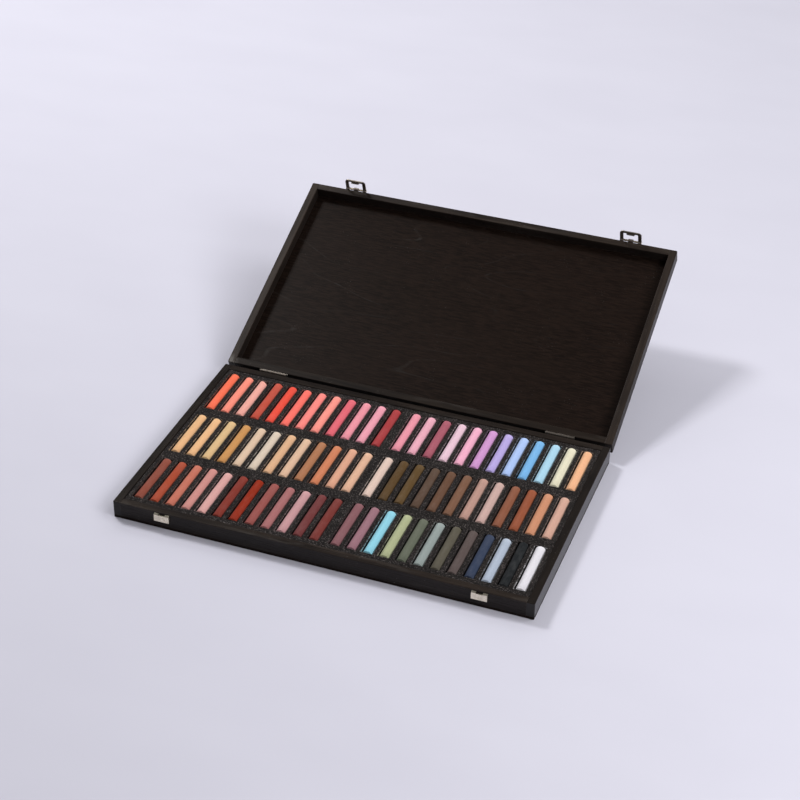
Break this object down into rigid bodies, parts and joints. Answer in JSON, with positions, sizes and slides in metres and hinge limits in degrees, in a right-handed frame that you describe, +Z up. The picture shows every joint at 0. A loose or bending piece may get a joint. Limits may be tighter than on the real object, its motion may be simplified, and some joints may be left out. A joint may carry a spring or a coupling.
{
  "type": "pastel case",
  "caption": "Shallow hinged wooden case, lid folded back past upright, with slotted foam blocks holding rows of round soft pastel sticks and two swinging loop latches.",
  "frame": {"origin": "middle of the underside of the base", "axes": "+X to the right seen from the latch side, +Y from the latches towards the hinges, +Z up"},
  "size_m": [0.43, 0.5227, 0.1299],
  "materials": {
    "base_wood": "satin",
    "lid_wood": "satin",
    "hinge_metal": "satin",
    "latch_metal": "satin",
    "strike_metal": "satin",
    "nail_metal": "satin",
    "foam": "matte",
    "pastels_left_front_1": "matte",
    "pastels_left_front_2": "matte",
    "pastels_left_front_3": "matte",
    "pastels_left_front_4": "matte",
    "pastels_right_front_1": "matte",
    "pastels_right_front_2": "matte",
    "pastels_right_front_3": "matte",
    "pastels_right_front_4": "matte",
    "pastels_left_middle_1": "matte",
    "pastels_left_middle_2": "matte",
    "pastels_left_middle_3": "matte",
    "pastels_left_middle_4": "matte",
    "pastels_right_middle_1": "matte",
    "pastels_right_middle_2": "matte",
    "pastels_right_middle_3": "matte",
    "pastels_right_middle_4": "matte",
    "pastels_left_back_1": "matte",
    "pastels_left_back_2": "matte",
    "pastels_left_back_3": "matte",
    "pastels_left_back_4": "matte",
    "pastels_right_back_1": "matte",
    "pastels_right_back_2": "matte",
    "pastels_right_back_3": "matte",
    "pastels_right_back_4": "matte"
  },
  "bodies": {
    "base": {"base_left_wall": "base_wood", "base_right_wall": "base_wood", "base_front_wall": "base_wood", "base_back_wall": "base_wood", "base_bottom_panel": "base_wood", "strike_left": "strike_metal", "strike_right": "strike_metal", "strike_nails": "nail_metal", "hinge_base_nails": "nail_metal", "hinge_left_base_leaf": "hinge_metal", "hinge_right_base_leaf": "hinge_metal", "hinge_left_pin": "hinge_metal", "hinge_right_pin": "hinge_metal"},
    "lid": {"lid_left_wall": "lid_wood", "lid_right_wall": "lid_wood", "lid_front_wall": "lid_wood", "lid_back_wall": "lid_wood", "lid_top_panel": "lid_wood", "latch_plate_nails": "nail_metal", "hinge_lid_nails": "nail_metal", "hinge_left_lid_leaf": "hinge_metal", "hinge_right_lid_leaf": "hinge_metal", "latch_left_plate": "latch_metal", "latch_right_plate": "latch_metal", "latch_left_pin": "strike_metal", "latch_right_pin": "strike_metal"},
    "latch_left": {"latch_left_loop": "latch_metal"},
    "latch_right": {"latch_right_loop": "latch_metal"},
    "foam_block_left_front": {"foam_block_left_front": "foam"},
    "pastels_left_front_1": {"pastels_left_front_1": "pastels_left_front_1"},
    "pastels_left_front_2": {"pastels_left_front_2": "pastels_left_front_2"},
    "pastels_left_front_3": {"pastels_left_front_3": "pastels_left_front_3"},
    "pastels_left_front_4": {"pastels_left_front_4": "pastels_left_front_4"},
    "foam_block_right_front": {"foam_block_right_front": "foam"},
    "pastels_right_front_1": {"pastels_right_front_1": "pastels_right_front_1"},
    "pastels_right_front_2": {"pastels_right_front_2": "pastels_right_front_2"},
    "pastels_right_front_3": {"pastels_right_front_3": "pastels_right_front_3"},
    "pastels_right_front_4": {"pastels_right_front_4": "pastels_right_front_4"},
    "foam_block_left_middle": {"foam_block_left_middle": "foam"},
    "pastels_left_middle_1": {"pastels_left_middle_1": "pastels_left_middle_1"},
    "pastels_left_middle_2": {"pastels_left_middle_2": "pastels_left_middle_2"},
    "pastels_left_middle_3": {"pastels_left_middle_3": "pastels_left_middle_3"},
    "pastels_left_middle_4": {"pastels_left_middle_4": "pastels_left_middle_4"},
    "foam_block_right_middle": {"foam_block_right_middle": "foam"},
    "pastels_right_middle_1": {"pastels_right_middle_1": "pastels_right_middle_1"},
    "pastels_right_middle_2": {"pastels_right_middle_2": "pastels_right_middle_2"},
    "pastels_right_middle_3": {"pastels_right_middle_3": "pastels_right_middle_3"},
    "pastels_right_middle_4": {"pastels_right_middle_4": "pastels_right_middle_4"},
    "foam_block_left_back": {"foam_block_left_back": "foam"},
    "pastels_left_back_1": {"pastels_left_back_1": "pastels_left_back_1"},
    "pastels_left_back_2": {"pastels_left_back_2": "pastels_left_back_2"},
    "pastels_left_back_3": {"pastels_left_back_3": "pastels_left_back_3"},
    "pastels_left_back_4": {"pastels_left_back_4": "pastels_left_back_4"},
    "foam_block_right_back": {"foam_block_right_back": "foam"},
    "pastels_right_back_1": {"pastels_right_back_1": "pastels_right_back_1"},
    "pastels_right_back_2": {"pastels_right_back_2": "pastels_right_back_2"},
    "pastels_right_back_3": {"pastels_right_back_3": "pastels_right_back_3"},
    "pastels_right_back_4": {"pastels_right_back_4": "pastels_right_back_4"}
  },
  "joints": [
    {"name": "lid_hinge", "type": "hinge", "parent": "base", "child": "lid", "pos_m": [0, 0.1347, 0.0185], "axis": [-1, 0, 0], "range_deg": [-158.4, 0]},
    {"name": "latch_left_swing", "type": "hinge", "parent": "lid", "child": "latch_left", "pos_m": [-0.162, 0.38484, 0.11636], "axis": [-1, 0, 0], "range_deg": [0, 165]},
    {"name": "latch_right_swing", "type": "hinge", "parent": "lid", "child": "latch_right", "pos_m": [0.162, 0.38484, 0.11636], "axis": [-1, 0, 0], "range_deg": [0, 165]},
    {"name": "foam_block_left_front_lift", "type": "slide", "parent": "base", "child": "foam_block_left_front", "axis": [0, 0, 1], "range_m": [0, 0.06]},
    {"name": "pastels_left_front_1_lift", "type": "slide", "parent": "foam_block_left_front", "child": "pastels_left_front_1", "axis": [0, 0, 1], "range_m": [0, 0.04]},
    {"name": "pastels_left_front_2_lift", "type": "slide", "parent": "foam_block_left_front", "child": "pastels_left_front_2", "axis": [0, 0, 1], "range_m": [0, 0.04]},
    {"name": "pastels_left_front_3_lift", "type": "slide", "parent": "foam_block_left_front", "child": "pastels_left_front_3", "axis": [0, 0, 1], "range_m": [0, 0.04]},
    {"name": "pastels_left_front_4_lift", "type": "slide", "parent": "foam_block_left_front", "child": "pastels_left_front_4", "axis": [0, 0, 1], "range_m": [0, 0.04]},
    {"name": "foam_block_right_front_lift", "type": "slide", "parent": "base", "child": "foam_block_right_front", "axis": [0, 0, 1], "range_m": [0, 0.06]},
    {"name": "pastels_right_front_1_lift", "type": "slide", "parent": "foam_block_right_front", "child": "pastels_right_front_1", "axis": [0, 0, 1], "range_m": [0, 0.04]},
    {"name": "pastels_right_front_2_lift", "type": "slide", "parent": "foam_block_right_front", "child": "pastels_right_front_2", "axis": [0, 0, 1], "range_m": [0, 0.04]},
    {"name": "pastels_right_front_3_lift", "type": "slide", "parent": "foam_block_right_front", "child": "pastels_right_front_3", "axis": [0, 0, 1], "range_m": [0, 0.04]},
    {"name": "pastels_right_front_4_lift", "type": "slide", "parent": "foam_block_right_front", "child": "pastels_right_front_4", "axis": [0, 0, 1], "range_m": [0, 0.04]},
    {"name": "foam_block_left_middle_lift", "type": "slide", "parent": "base", "child": "foam_block_left_middle", "axis": [0, 0, 1], "range_m": [0, 0.06]},
    {"name": "pastels_left_middle_1_lift", "type": "slide", "parent": "foam_block_left_middle", "child": "pastels_left_middle_1", "axis": [0, 0, 1], "range_m": [0, 0.04]},
    {"name": "pastels_left_middle_2_lift", "type": "slide", "parent": "foam_block_left_middle", "child": "pastels_left_middle_2", "axis": [0, 0, 1], "range_m": [0, 0.04]},
    {"name": "pastels_left_middle_3_lift", "type": "slide", "parent": "foam_block_left_middle", "child": "pastels_left_middle_3", "axis": [0, 0, 1], "range_m": [0, 0.04]},
    {"name": "pastels_left_middle_4_lift", "type": "slide", "parent": "foam_block_left_middle", "child": "pastels_left_middle_4", "axis": [0, 0, 1], "range_m": [0, 0.04]},
    {"name": "foam_block_right_middle_lift", "type": "slide", "parent": "base", "child": "foam_block_right_middle", "axis": [0, 0, 1], "range_m": [0, 0.06]},
    {"name": "pastels_right_middle_1_lift", "type": "slide", "parent": "foam_block_right_middle", "child": "pastels_right_middle_1", "axis": [0, 0, 1], "range_m": [0, 0.04]},
    {"name": "pastels_right_middle_2_lift", "type": "slide", "parent": "foam_block_right_middle", "child": "pastels_right_middle_2", "axis": [0, 0, 1], "range_m": [0, 0.04]},
    {"name": "pastels_right_middle_3_lift", "type": "slide", "parent": "foam_block_right_middle", "child": "pastels_right_middle_3", "axis": [0, 0, 1], "range_m": [0, 0.04]},
    {"name": "pastels_right_middle_4_lift", "type": "slide", "parent": "foam_block_right_middle", "child": "pastels_right_middle_4", "axis": [0, 0, 1], "range_m": [0, 0.04]},
    {"name": "foam_block_left_back_lift", "type": "slide", "parent": "base", "child": "foam_block_left_back", "axis": [0, 0, 1], "range_m": [0, 0.06]},
    {"name": "pastels_left_back_1_lift", "type": "slide", "parent": "foam_block_left_back", "child": "pastels_left_back_1", "axis": [0, 0, 1], "range_m": [0, 0.04]},
    {"name": "pastels_left_back_2_lift", "type": "slide", "parent": "foam_block_left_back", "child": "pastels_left_back_2", "axis": [0, 0, 1], "range_m": [0, 0.04]},
    {"name": "pastels_left_back_3_lift", "type": "slide", "parent": "foam_block_left_back", "child": "pastels_left_back_3", "axis": [0, 0, 1], "range_m": [0, 0.04]},
    {"name": "pastels_left_back_4_lift", "type": "slide", "parent": "foam_block_left_back", "child": "pastels_left_back_4", "axis": [0, 0, 1], "range_m": [0, 0.04]},
    {"name": "foam_block_right_back_lift", "type": "slide", "parent": "base", "child": "foam_block_right_back", "axis": [0, 0, 1], "range_m": [0, 0.06]},
    {"name": "pastels_right_back_1_lift", "type": "slide", "parent": "foam_block_right_back", "child": "pastels_right_back_1", "axis": [0, 0, 1], "range_m": [0, 0.04]},
    {"name": "pastels_right_back_2_lift", "type": "slide", "parent": "foam_block_right_back", "child": "pastels_right_back_2", "axis": [0, 0, 1], "range_m": [0, 0.04]},
    {"name": "pastels_right_back_3_lift", "type": "slide", "parent": "foam_block_right_back", "child": "pastels_right_back_3", "axis": [0, 0, 1], "range_m": [0, 0.04]},
    {"name": "pastels_right_back_4_lift", "type": "slide", "parent": "foam_block_right_back", "child": "pastels_right_back_4", "axis": [0, 0, 1], "range_m": [0, 0.04]}
  ]
}
